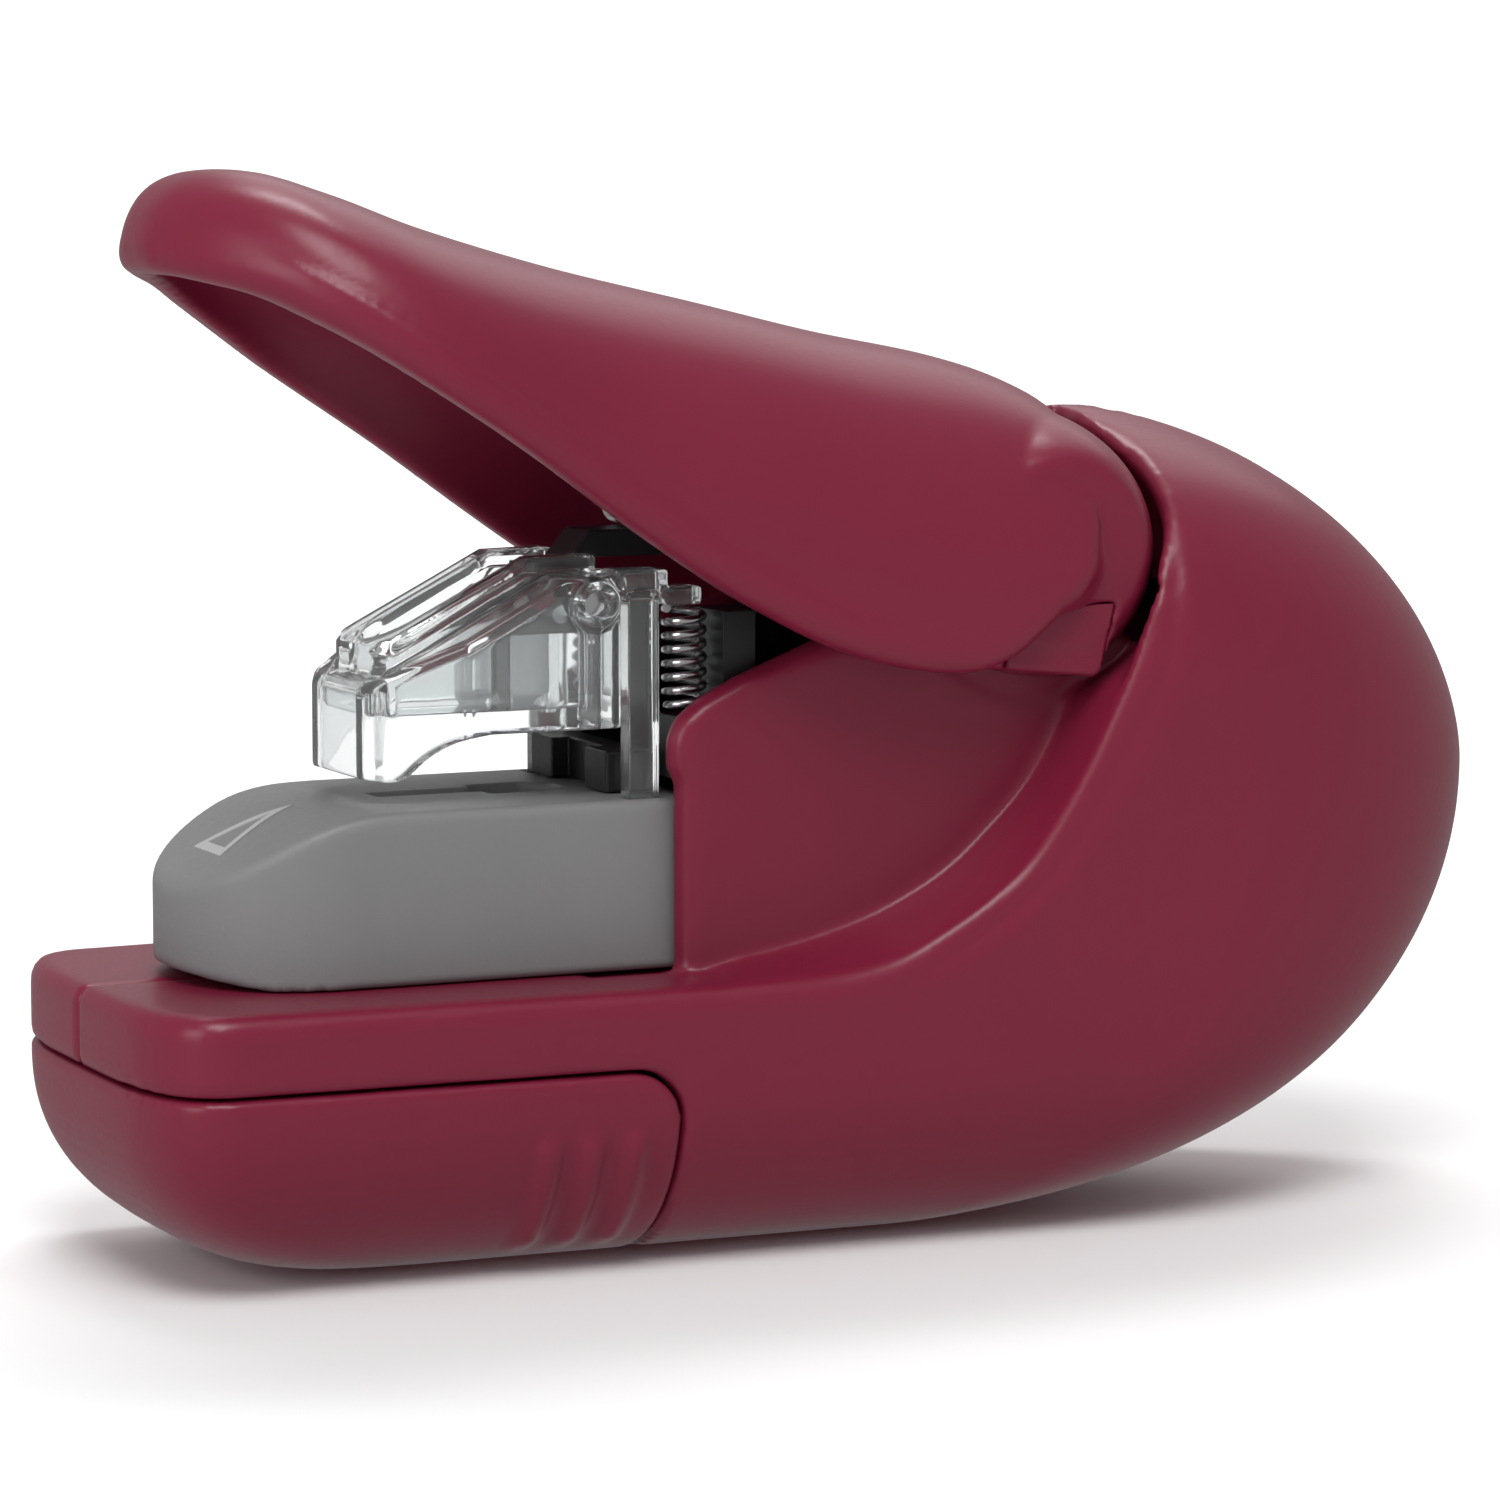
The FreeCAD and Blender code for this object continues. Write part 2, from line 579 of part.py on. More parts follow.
def press_lever():
    """Black lever under the handle: one deep web on a wide hub that turns on the pin."""
    corners = [(34.9, 49.0), (34.9, 46.6), (36.2, 45.0), (38.4, 45.0), (41.0, 43.9),
               (50.0, 42.8), (56.0, 40.2), (62.0, 40.2), (62.6, 45.4), (58.0, 48.6),
               (50.0, 51.4), (38.0, 54.2), (33.6, 54.9), (33.6, 50.5)]
    shape = side_prism(corners, (-1.9, 1.9))
    shape = shape.fuse(crossbar(HINGE_AT, HINGE_Z, 3.3, (-4.2, 4.2)))
    plate = [(29.8, 54.5), (38.0, 52.9), (50.0, 50.2), (50.0, 51.4), (38.0, 54.2), (30.0, 55.7)]
    shape = shape.fuse(side_prism(plate, (-5.0, 5.0)))
    shape = shape.cut(press_roller())
    return shape.cut(crossbar(HINGE_AT, HINGE_Z, PIN_RADIUS + 0.05, (-6, 6)))


def press_roller():
    """Steel crossbar in the lever's nose that bears on the punch carrier's arm."""
    return crossbar(36.6, 45.6, 1.1, (-2.1, 2.1))


# ---- clear head ----
def plan_prism(corners, z):
    ring = [point(back, y, z[0]) for back, y in corners + corners[:1]]
    return Part.Face(Part.makePolygon(ring)).extrude(Vector(0, 0, z[1] - z[0]))


def head_plan(inset):
    half = [(16.8 + inset, 3.9 - inset * 0.6), (17.4 + inset, 5.2 - inset * 0.8),
            (22.4 + inset * 0.4, 8.0 - inset),
            (32.6 - inset, 8.0 - inset)]
    return half + [(back, -y) for back, y in reversed(half)]


def clear_head():
    """Clear clamp head: beak, flared side walls, raised block, tabs and guide columns."""
    top = [(16.0, 35.0), (18.2, 36.2), (22.8, 38.6), (27.3, 41.0),
           (28.9, 41.9), (40, 42.2), (40, 20), (16, 20)]
    outer = plan_prism(head_plan(0.0), (29.0, 45.0)).common(side_prism(top, (-9, 9)))
    room = plan_prism(head_plan(1.1), (20.0, 45.0))
    low_top = [(back, z - 1.1 if z > 30 else z) for back, z in top]
    outer = outer.cut(room.common(side_prism(low_top, (-9, 9))))
    ridge = [(18.0, 31.5), (18.0, 37.8), (19.9, 38.8), (25.2, 41.5),
             (28.1, 43.0), (32.6, 43.1), (32.6, 33.6),
             (18.0, 33.6)]
    raised = side_prism(ridge[1:], (-4.5, 4.5))
    plan = [(18.0, 3.2), (18.9, 4.5), (32.6, 4.5), (32.6, -4.5), (18.9, -4.5), (18.0, -3.2)]
    raised = raised.common(plan_prism(plan, (30, 50)))
    shape = outer.fuse(raised)
    hollow = [(19.2, 20), (19.2, 37.2), (25.2, 40.4), (28.1, 41.9), (31.7, 42.0), (31.7, 20)]
    shape = shape.cut(side_prism(hollow, (-3.6, 3.6)))
    window = plan_prism([(21.2, -2.4), (27.4, -2.4), (27.4, 2.4), (21.2, 2.4)], (35, 50))
    window = window.fuse(upright(21.2, 0, (35, 50), 2.4))
    shape = shape.cut(window).cut(block((27.3, 33.0), (-2.4, 2.4), (31.0, 50)))
    beak_foot = [(10, 20), (10, 29.9), (17.0, 29.8), (18.9, 29.8),
                 (20.4, 31.2), (22.0, 32.2), (24.0, THROAT_Z),
                 (40, THROAT_Z), (40, 20)]
    shape = shape.cut(side_prism(beak_foot, (-9, 9)))
    for side in (-1, 1):
        shape = shape.fuse(block((32.4, 35.7), sorted((5.2 * side, 8.0 * side)), (40.6, 42.3)))
        shape = shape.fuse(block((35.5, 38.0), sorted((5.8 * side, 8.0 * side)), (40.1, 41.2)))
        shape = shape.fuse(block((33.0, 35.0), sorted((6.65 * side, 8.25 * side)), (27.3, 40.8)))
        shape = shape.fuse(crossbar(30.9, 40.3, 1.5, sorted((6.9 * side, 8.35 * side))))
    return shape.cut(crossbar(30.9, 40.3, 0.8, (-9, 9)))


def head_pin():
    """Thin steel pins in the head's side bosses."""
    return pair(crossbar(30.9, 40.3, 0.8, (5.2, 7.3)))


# ---- punch ----
def blade_carrier():
    """Black block that carries the blades, with an arm back to the lever's nose."""
    corners = [(24.4, 38.2), (24.4, 39.2), (27.0, 40.9), (31.3, 40.9), (31.3, 38.2)]
    shape = side_prism(corners, (-3.2, 3.2))
    arm = [(29.0, 40.5), (29.0, 42.4), (31.2, 42.4), (32.9, ARM_TOP_Z), (38.0, ARM_TOP_Z),
           (38.0, ARM_LOW_Z), (32.8, ARM_LOW_Z), (31.3, 40.5)]
    shape = shape.fuse(side_prism(arm, (-1.9, 1.9)))
    shape = shape.cut(block((26.9, 28.8), (-1.3, 1.3), (36, 45)))
    return shape.cut(crossbar(27.95, 39.6, 0.5, (-5, 5)))


def tongue_punch():
    """Bent steel cutter, open towards the nose, that cuts the tongue."""
    back = PUNCH_BACK
    shape = block((back, back + 2.4), (-2.0, 2.0), (32.8, 38.2))
    shape = shape.cut(block((back - 1, back + 1.95), (-1.55, 1.55), (30, 40)))
    bevel = side_prism([(back - 1, 32.0), (back + 2.6, 32.0), (back + 2.6, 34.6), (back - 1, 32.9)], (-3, 3))
    return shape.cut(bevel)


def slit_blade():
    """Flat steel blade with a long eye that the tongue is drawn through."""
    shape = side_prism([(24.6, 38.2), (24.6, 34.2), (25.5, 32.9), (26.4, 34.2), (26.4, 38.2)], (-0.45, 0.45))
    eye = block((25.15, 25.85), (-1, 1), (34.6, 36.6))
    return shape.cut(eye)


def tongue_pusher():
    """Small finger that folds the cut tongue forward into the blade's eye."""
    finger = side_prism([(27.5, 39.2), (28.4, 39.2), (28.4, 34.4), (27.7, 33.8), (27.5, 34.4)], (-0.9, 0.9))
    hub = crossbar(27.95, 39.6, 0.85, (-1.1, 1.1))
    return finger.fuse(hub).cut(crossbar(27.95, 39.6, 0.55, (-3, 3)))


def pusher_pin():
    return crossbar(27.95, 39.6, 0.5, (-3.1, 3.1))


def carrier_rivets():
    """Two rivets that clamp the blades in the carrier."""
    parts = []
    for back, z in ((26.0, 39.2), (30.0, 39.4)):
        parts.append(pair(crossbar(back, z, 0.55, (3.2, 3.45))))
    return Part.makeCompound(parts)


def save(name, shape):
    """Writes one sub-part."""
    shape.exportStep("parts/" + name + ".step")
    print(name, round(shape.Volume, 1), shape.isValid(), len(shape.Solids))


SUB_PARTS = {
    "body_shell_left": lambda: shell(1),
    "body_shell_right": lambda: shell(-1),
    "case_screws": case_screws,
    "bottom_cover": bottom_cover,
    "anvil_block": anvil_block,
    "die_plate": die_plate,
    "arrow_mark": arrow_mark,
    "anvil_screws": anvil_screws,
    "inner_frame": inner_frame,
    "frame_screws": frame_screws,
    "paper_stop": paper_stop,
    "handle_pivot_pin": pivot_pin,
    "return_springs": return_springs,
    "handle_torsion_spring": torsion_spring,
    "handle_shell": handle_shell,
    "handle_drum": handle_drum,
    "pivot_caps": pivot_caps,
    "press_lever": press_lever,
    "press_roller": press_roller,
    "clear_head": clear_head,
    "head_pins": head_pin,
    "blade_carrier": blade_carrier,
    "tongue_punch": tongue_punch,
    "slit_blade": slit_blade,
    "tongue_pusher": tongue_pusher,
    "pusher_pin": pusher_pin,
    "carrier_rivets": carrier_rivets,
}

os.makedirs("parts", exist_ok=True)
for name, make in SUB_PARTS.items():
    save(name, make())
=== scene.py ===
"""Looks for the staple-free stapler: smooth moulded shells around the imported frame.

The moulded pieces are distance fields, sampled on a grid and meshed, so that every edge gets its
small moulded radius. Fields work in millimetres, with `back` the distance back from the nose.
"""

import json
import math

import bpy
import numpy as np
import openvdb
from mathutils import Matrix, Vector

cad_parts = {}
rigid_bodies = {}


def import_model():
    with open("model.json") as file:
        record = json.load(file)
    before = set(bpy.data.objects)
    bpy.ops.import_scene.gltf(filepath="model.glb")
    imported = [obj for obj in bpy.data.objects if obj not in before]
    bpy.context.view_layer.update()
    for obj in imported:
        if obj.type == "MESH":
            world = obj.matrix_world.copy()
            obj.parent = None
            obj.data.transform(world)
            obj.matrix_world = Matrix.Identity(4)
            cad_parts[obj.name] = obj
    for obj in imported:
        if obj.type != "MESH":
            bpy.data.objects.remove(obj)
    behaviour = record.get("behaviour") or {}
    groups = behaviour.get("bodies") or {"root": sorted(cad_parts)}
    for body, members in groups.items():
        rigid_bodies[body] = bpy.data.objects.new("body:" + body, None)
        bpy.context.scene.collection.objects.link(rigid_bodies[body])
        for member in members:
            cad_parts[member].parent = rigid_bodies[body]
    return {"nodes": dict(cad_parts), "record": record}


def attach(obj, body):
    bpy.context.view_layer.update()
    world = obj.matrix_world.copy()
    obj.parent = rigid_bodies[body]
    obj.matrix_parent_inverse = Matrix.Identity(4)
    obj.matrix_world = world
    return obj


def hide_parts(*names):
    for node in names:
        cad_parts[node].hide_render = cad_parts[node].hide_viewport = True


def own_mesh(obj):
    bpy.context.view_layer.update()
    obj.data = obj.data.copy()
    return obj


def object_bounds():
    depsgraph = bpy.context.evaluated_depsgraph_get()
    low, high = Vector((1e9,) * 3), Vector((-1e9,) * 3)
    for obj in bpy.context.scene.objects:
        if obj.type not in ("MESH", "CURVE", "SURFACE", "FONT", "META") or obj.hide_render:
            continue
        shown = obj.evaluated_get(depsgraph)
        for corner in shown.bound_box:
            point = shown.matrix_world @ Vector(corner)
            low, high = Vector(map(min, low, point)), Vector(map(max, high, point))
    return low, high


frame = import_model()
cad_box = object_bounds()
MM = 0.001
NOSE_X = cad_box[1].x / MM

# ---- sizes shared by several pieces, millimetres ----
PLATFORM = 17.7  # height of the flat the anvil stands on
HULL_TOP = 51.6
WALL = 2.3
NECK_HALF = 11.7
CHANNEL_HALF = 9.6
HINGE_BACK = NOSE_X + 11.2
HINGE_Z = 43.0
DRUM_RADIUS = 9.2
DRUM_HALF = 15.5
DRUM_ROUND_HALF = 16.9  # where the drum's barrel would close to a point
DRUM_CAVITY_HALF = 12.1
DRUM_CAVITY_RADIUS = 7.3
SEAM = 0.2
ANVIL_TOP = 28.4
HANDLE_WALL = 2.0

# ---- softening of meshed surfaces ----
SOFTEN_ROUNDS = 8
SOFTEN_PULL = 0.6


# ---- field helpers ----
class Grid:
    """Sample points over a box given as (low, high) pairs: back, side y and height z."""

    def __init__(self, back, y, z, step):
        self.step = step
        self.low = (back[0], y[0], z[0])
        axes = [np.arange(low, high + step, step) for low, high in (back, y, z)]
        self.back = axes[0][:, None, None]
        self.y = axes[1][None, :, None]
        self.z = axes[2][None, None, :]
        self.side = np.abs(self.y)

    def scaled(self, field):
        """A field divided by its own slope, so that it reads as a distance near zero."""
        field = np.broadcast_to(field, (self.back.size, self.y.size, self.z.size))
        slopes = np.gradient(field, self.step)
        return field / np.maximum(np.sqrt(sum(slope**2 for slope in slopes)), 1e-3)


def smooth_max(a, b, radius):
    """The larger of two fields, with the crease between them rounded."""
    overlap = np.maximum(radius - np.abs(a - b), 0) / radius
    return np.maximum(a, b) + overlap**2 * radius / 4


def smooth_min(a, b, radius):
    """The smaller of two fields, with the crease between them rounded."""
    return -smooth_max(-a, -b, radius)


def sampled(points, steps=8):
    """A smooth curve through the points, as many short straight runs."""
    spots = [np.array(p, float) for p in points]
    spots = [2 * spots[0] - spots[1]] + spots + [2 * spots[-1] - spots[-2]]
    run = []
    for p0, p1, p2, p3 in zip(spots, spots[1:], spots[2:], spots[3:]):
        for t in np.arange(steps) / steps:
            bend = (2 * p0 - 5 * p1 + 4 * p2 - p3) * t**2 + (3 * p1 - p0 - 3 * p2 + p3) * t**3
            run.append((2 * p1 + (p2 - p0) * t + bend) / 2)
    return [tuple(p) for p in run + [spots[-2]]]


def region(u, v, corners):
    """Signed distance to a closed polygon in the plane of u and v, negative inside."""
    nearest = np.full(np.broadcast(u, v).shape, 1e9)
    inside = np.zeros(nearest.shape, bool)
    for (u0, v0), (u1, v1) in zip(corners, corners[1:] + corners[:1]):
        du, dv = u1 - u0, v1 - v0
        share = np.clip(((u - u0) * du + (v - v0) * dv) / (du * du + dv * dv + 1e-12), 0, 1)
        nearest = np.minimum(nearest, (u - u0 - share * du) ** 2 + (v - v0 - share * dv) ** 2)
        if dv:
            crosses = ((v0 > v) != (v1 > v)) & (u < u0 + (v - v0) * du / dv)
            inside ^= crosses
    return np.sqrt(nearest) * np.where(inside, -1, 1)


def box_field(g, back, y, z):
    """Signed distance to a box, given as (low, high) pairs."""
    gaps = [np.abs(axis - (low + high) / 2) - (high - low) / 2
            for axis, (low, high) in ((g.back, back), (g.y, y), (g.z, z))]
    outside = np.sqrt(sum(np.maximum(gap, 0) ** 2 for gap in gaps))
    return outside + np.minimum(np.maximum(np.maximum(gaps[0], gaps[1]), gaps[2]), 0)


def crossbar(g, back, z, radius, y=None):
    """Signed distance to a round bar along Y."""
    bar = np.hypot(g.back - back, g.z - z) - radius
    if y is None:
        return bar
    return np.maximum(bar, np.abs(g.y - (y[0] + y[1]) / 2) - (y[1] - y[0]) / 2)


def through(x, places, values):
    """A smooth curve of values over places, read at x."""
    dense = sampled(list(zip(places, values)), 12)
    return np.interp(x, [p[0] for p in dense], [p[1] for p in dense])


def smooth_step(x, low, high):
    """Rises smoothly from 0 at low to 1 at high."""
    t = np.clip((x - low) / (high - low), 0, 1)
    return t * t * (3 - 2 * t)


def signed_power(x, power):
    """A power of x that keeps its sign."""
    return np.sign(x) * np.abs(x) ** power


def all_of(*shares):
    """The product of the shares where all are positive, else the sum of the negative ones."""
    product = 1.0
    lacking = 0.0
    for share in shares:
        product = product * np.maximum(share, 0)
        lacking = lacking + np.minimum(share, 0)
    return product + lacking


def soften(points, quads, share):
    """Evens out small waves in the surface where share is above zero."""
    start, end = quads.ravel(), np.roll(quads, -1, axis=1).ravel()
    count = np.bincount(start, minlength=len(points)) + np.bincount(end, minlength=len(points))
    pull = SOFTEN_PULL * share[:, None] / count[:, None]
    for _ in range(SOFTEN_ROUNDS):
        near = [np.bincount(start, points[end, k], len(points))
                + np.bincount(end, points[start, k], len(points)) for k in range(3)]
        points = points + pull * (np.stack(near, axis=1) - points * count[:, None])
    return points


def crown_share(points):
    """The top of the body's rim, clear of the middle seam."""
    back, y, z = points.T
    along = smooth_step(back, 58, 61) * (1 - smooth_step(back, 74, 80))
    return along * smooth_step(z, 41, 44) * smooth_step(np.abs(y), 0.7, 1.2)


def tip_share(points):
    """The handle's tip."""
    return 1 - smooth_step(points[:, 0], 8, 11)


def mesh_piece(name, g, field, body, nodes, mirror=False, soft=None):
    """Meshes a field's zero surface into a piece that rides on a body and replaces nodes."""
    limit = 3 * g.step
    values = np.clip(field, -limit, limit).astype(np.float64)
    grid = openvdb.FloatGrid(limit)
    grid.copyFromArray(values)
    points, quads = grid.convertToQuads(0.0)
    points = np.asarray(points, float) * g.step + np.array(g.low)
    quads = np.asarray(quads, int)
    if soft:
        points = soften(points, quads, soft(points))
    places = np.empty_like(points)
    places[:, 0] = (NOSE_X - points[:, 0]) * MM
    places[:, 1] = points[:, 1] * MM * (-1 if mirror else 1)
    places[:, 2] = points[:, 2] * MM
    if mirror:
        quads = quads[:, ::-1]
    mesh = bpy.data.meshes.new(name)
    mesh.from_pydata(places.tolist(), [], quads.tolist())
    mesh.shade_smooth()
    piece = bpy.data.objects.new(name, mesh)
    bpy.context.scene.collection.objects.link(piece)
    outward(mesh)
    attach(piece, body)
    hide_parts(*nodes)
    return piece


def outward(mesh):
    """Turns the faces outward if the mesh encloses a negative volume."""
    mesh.calc_loop_triangles()
    places = np.empty(len(mesh.vertices) * 3)
    mesh.vertices.foreach_get("co", places)
    places = places.reshape(-1, 3)
    corners = np.empty(len(mesh.loop_triangles) * 3, int)
    mesh.loop_triangles.foreach_get("vertices", corners)
    a, b, c = (places[corners.reshape(-1, 3)[:, k]] for k in range(3))
    if np.einsum("ij,ij->i", a, np.cross(b, c)).sum() < 0:
        mesh.flip_normals()


# ---- outer form of the body, millimetres ----
# The powers in hull() shape its curves, and are fitted.
NOSE_CURL_REACH = 17.4  # how far back the nose's curl starts at the bottom
NOSE_CURL_TOP = 12.6
TAIL_Z = 27.7  # height of the tail's rearmost point
TAIL_BACK = 96.0
TAIL_LOW_BACK = 53.0
TAIL_HIGH_BACK = 66.0
TAIL_ROUND_START = 29.0
CROWN_START_Z = 34.0
BELLY_RADIUS = 11.5
NOSE_HALF = 15.4
TAIL_WIDENING = 2.6
WIDEST_BACK = 66.0  # where the body stops widening


def ellipse_share(x, power):
    """The height of a rounded quarter curve, from 1 at x = 0 to 0 at x = 1."""
    return (1 - np.clip(x, 0, 1) ** power) ** (1 / power)


def hull(g, inset=0.0):
    """The rounded body before anything is cut from it."""
    z = np.clip(g.z, 0.0, HULL_TOP)
    curl = ellipse_share((NOSE_CURL_TOP - z) / NOSE_CURL_TOP, 2.56)
    start = NOSE_CURL_REACH * (1 - curl) + inset
    low_tail = TAIL_LOW_BACK + (TAIL_BACK - TAIL_LOW_BACK) * ellipse_share((TAIL_Z - z) / TAIL_Z, 2.09)
    high_share = ellipse_share((z - TAIL_Z) / (HULL_TOP - TAIL_Z), 1.76)
    high_tail = TAIL_HIGH_BACK + (TAIL_BACK - TAIL_HIGH_BACK) * high_share
    end = np.where(z < TAIL_Z, low_tail, high_tail) - inset
    nose = np.clip(1 - (g.back - start) / (6.3 + 0.3 * start), 0, 3)
    tail = np.clip(1 - (end - g.back) / (0.386 * (end - TAIL_ROUND_START)), 0, 3)
    crown = np.clip((g.z - CROWN_START_Z) / (HULL_TOP - inset - CROWN_START_Z), 0, 1.5)
    under = np.clip(BELLY_RADIUS - z, 0, BELLY_RADIUS)
    half = NOSE_HALF + TAIL_WIDENING * smooth_min(g.back / WIDEST_BACK, 1.0, 0.3)
    half = half - BELLY_RADIUS + np.sqrt(BELLY_RADIUS**2 - under**2) - inset
    keep = all_of(signed_power(1 - nose**3.4, 0.765), signed_power(1 - tail**1.9, 1.368),
                  signed_power(1 - crown**2.3, 1.13))
    form = g.scaled((g.side / half) ** 2.6 - keep)
    return np.maximum(form, -g.z)


# The mouth's outline seen from the side, as (back, z): at the rim, outside it and at the neck's wall.
RIM = [(36, 17.7), (41.4, 17.75), (44.4, 17.95), (47.4, 18.6), (50.2, 19.9), (53.6, 21.9), (56.6, 24.5),
       (60.0, 29.4), (62.6, 34.2), (64.3, 38.0), (65.4, 41.5), (65.9, 45.0), (66.2, 48.0), (66.3, 51.0),
       (66.4, 58.0)]
FLARE = [(36, 17.6), (41.4, 17.5), (45.0, 17.4), (49.2, 17.9), (52.6, 19.0), (56.4, 21.0), (59.8, 23.7),
         (63.8, 28.4), (67.0, 34.0), (68.9, 39.0), (69.0, 43.5), (68.2, 48.0), (67.4, 58.0)]
PANEL = [(36, 17.7), (38.4, 18.3), (41.2, 18.8), (44.6, 19.6), (48.4, 20.8), (52.3, 22.7), (55.3, 25.0),
         (58.9, 28.6), (61.6, 33.6), (63.6, 38.2), (65.4, 42.8), (66.2, 48.0), (66.4, 58.0)]
RIM_SIDE = 17.0  # where the rim's edge runs
FLARE_WIDTH = 3.5
EAR_RADIUS = 4.3  # round ends of the neck, about the hinge
SCREWS = [(74.0, 9.0), (84.0, 24.0), (72.0, 43.0)]


def mouth(g):
    """The open space in front of the rim: wall, rim edge, then the flared ledge."""
    fields = []
    for line in (PANEL, RIM, FLARE):
        corners = sampled(line) + [(-20, 58), (-20, line[0][1])]
        fields.append(region(g.back, g.z, corners))
    inner = np.clip((g.side - NECK_HALF) / (RIM_SIDE - NECK_HALF), 0, 1)
    outer = np.clip((g.side - RIM_SIDE) / FLARE_WIDTH, 0, 1)
    return fields[0] * (1 - inner) + fields[1] * (inner - outer) + fields[2] * outer


def neck_corners():
    """Side view of the neck's walls: throat edge, slope and round ears."""
    corners = [(35.0, 8.0), (35.0, 29.4), (34.5, 30.4), (34.5, 32.1), (35.1, 33.4), (36.5, 34.5),
               (39.1, 35.8), (44.3, 37.8), (50.5, 40.2)]
    for degrees in range(0, 221, 20):
        turn = math.radians(degrees)
        corners.append((HINGE_BACK - EAR_RADIUS * math.cos(turn), HINGE_Z + EAR_RADIUS * math.sin(turn)))
    return corners + [(68.0, 36.2), (68.0, 8.0)]


def cover_region(g, gap):
    """Side-view region of the belly cover."""
    top, end, radius = 12.7 + gap, 32.8 + gap, 3.2
    corners = [(-20, -20), (end, -20), (end, top - radius)]
    for degrees in range(10, 90, 10):
        turn = math.radians(degrees)
        corners.append((end - radius + radius * math.cos(turn), top - radius + radius * math.sin(turn)))
    return region(g.back, g.z, corners + [(end - radius, top), (-20, top)])


def drum_round(g, grow, half):
    """Barrel round the hinge: full in the middle and smaller towards its ends."""
    share = np.clip(1 - (g.side / DRUM_ROUND_HALF) ** 3, 0.02, 1)
    barrel = np.hypot(g.back - HINGE_BACK, g.z - HINGE_Z) - DRUM_RADIUS * share ** (1 / 3) - grow
    return np.maximum(barrel, g.side - half)


POCKET_GAP = 0.75
POCKET_LOW_RADIUS = 8.6
POCKET_LOW_TOP_Z = 40.5


def drum_pocket(g):
    """The room in the body in which the drum turns, with a straight-sided lower part."""
    low = np.maximum(crossbar(g, HINGE_BACK, HINGE_Z, POCKET_LOW_RADIUS), g.side - DRUM_HALF - 0.4)
    barrel = drum_round(g, POCKET_GAP, DRUM_HALF + 0.5)
    return smooth_min(barrel, np.maximum(low, g.z - POCKET_LOW_TOP_Z), 2.0)


def body_field(g, side):
    """Half of the body: +1 left, -1 right, both modelled on the +Y side."""
    open_front = mouth(g)
    ledge = 0.35 * (1 - smooth_step(open_front, 1.2, 2.0)) * smooth_step(g.back, 44, 54)
    ledge = ledge * smooth_step(g.side, 4, 8)
    outer = hull(g) + ledge
    neck = smooth_max(region(g.back, g.z, neck_corners()), g.side - NECK_HALF, 1.3)
    rim = smooth_max(outer, -open_front, 0.7 + 0.8 * (1 - smooth_step(g.back, 42, 52)))
    solid = smooth_max(smooth_min(rim, neck, 0.6), hull(g), 0.05)
    solid = smooth_max(solid, -np.maximum(drum_pocket(g), -neck), 0.8)
    front = [(-20, 15.4), (41, 15.4), (47, 16.2), (52, 18.4), (56.5, 21.4), (60.5, 26), (63.6, 31.5),
             (66.6, 37), (69.4, 41.5), (70.2, 60), (-20, 60)]
    hollow = np.maximum(np.maximum(hull(g, WALL), -region(g.back, g.z, front)), 2.3 - g.z)
    solid = smooth_max(solid, -hollow, 0.4)
    slot = [(30.0, PLATFORM), (30.0, 70.0), (66.0, 70.0), (66.0, 38.6), (70.0, 36.0), (70.0, PLATFORM)]
    slot = np.maximum(region(g.back, g.z, slot), g.side - CHANNEL_HALF)
    solid = smooth_max(solid, -slot, 0.9)
    bay = np.maximum(box_field(g, (33.2, 35.2), (-30, 30), (1.0, 15.6)), outer + 0.3)
    solid = np.minimum(solid, bay)
    solid = smooth_max(solid, -cover_region(g, SEAM), 0.45)
    solid = np.minimum(solid, box_field(g, (6, 31), (7.0, 8.5), (9.0, 15.8)))
    solid = np.minimum(solid, box_field(g, (6, 31), (7.0, 10.0), (9.0, 10.2)))
    for back, z in SCREWS:
        solid = np.minimum(solid, np.maximum(crossbar(g, back, z, 2.6), outer + 0.4))
        solid = np.maximum(solid, -crossbar(g, back, z, 0.9, (-9, 9)))
        if side < 0:
            solid = smooth_max(solid, -np.maximum(crossbar(g, back, z, 1.9), 8.0 - g.y), 0.3)
    solid = np.maximum(solid, -crossbar(g, HINGE_BACK, HINGE_Z, 1.6))
    return smooth_max(solid, 0.04 - g.y, 0.3)


def cover_field(g):
    """The belly cover: a tray with grip ridges and side hooks."""
    ridges = 0.0
    for back in (24.4, 27.1, 29.8):
        ridges = ridges + np.clip(1 - ((g.back - back) / 1.15) ** 2, 0, 1) ** 2
    ridges = ridges * smooth_step(g.z, 0.8, 2.2) * (1 - smooth_step(g.z, 8.0, 9.6))
    ridges = ridges * smooth_step(g.side, 5, 8)
    outer = hull(g) - 0.5 * ridges
    solid = smooth_max(outer, cover_region(g, 0.0), 0.45)
    tray = np.maximum(hull(g, 2.0), 2.3 - g.z)
    solid = smooth_max(solid, -tray, 0.4)
    hook = np.maximum(box_field(g, (8, 29), (-30, 30), (10.5, 12.3)), 8.9 - g.side)
    return np.minimum(solid, np.maximum(hook, hull(g, 0.5)))


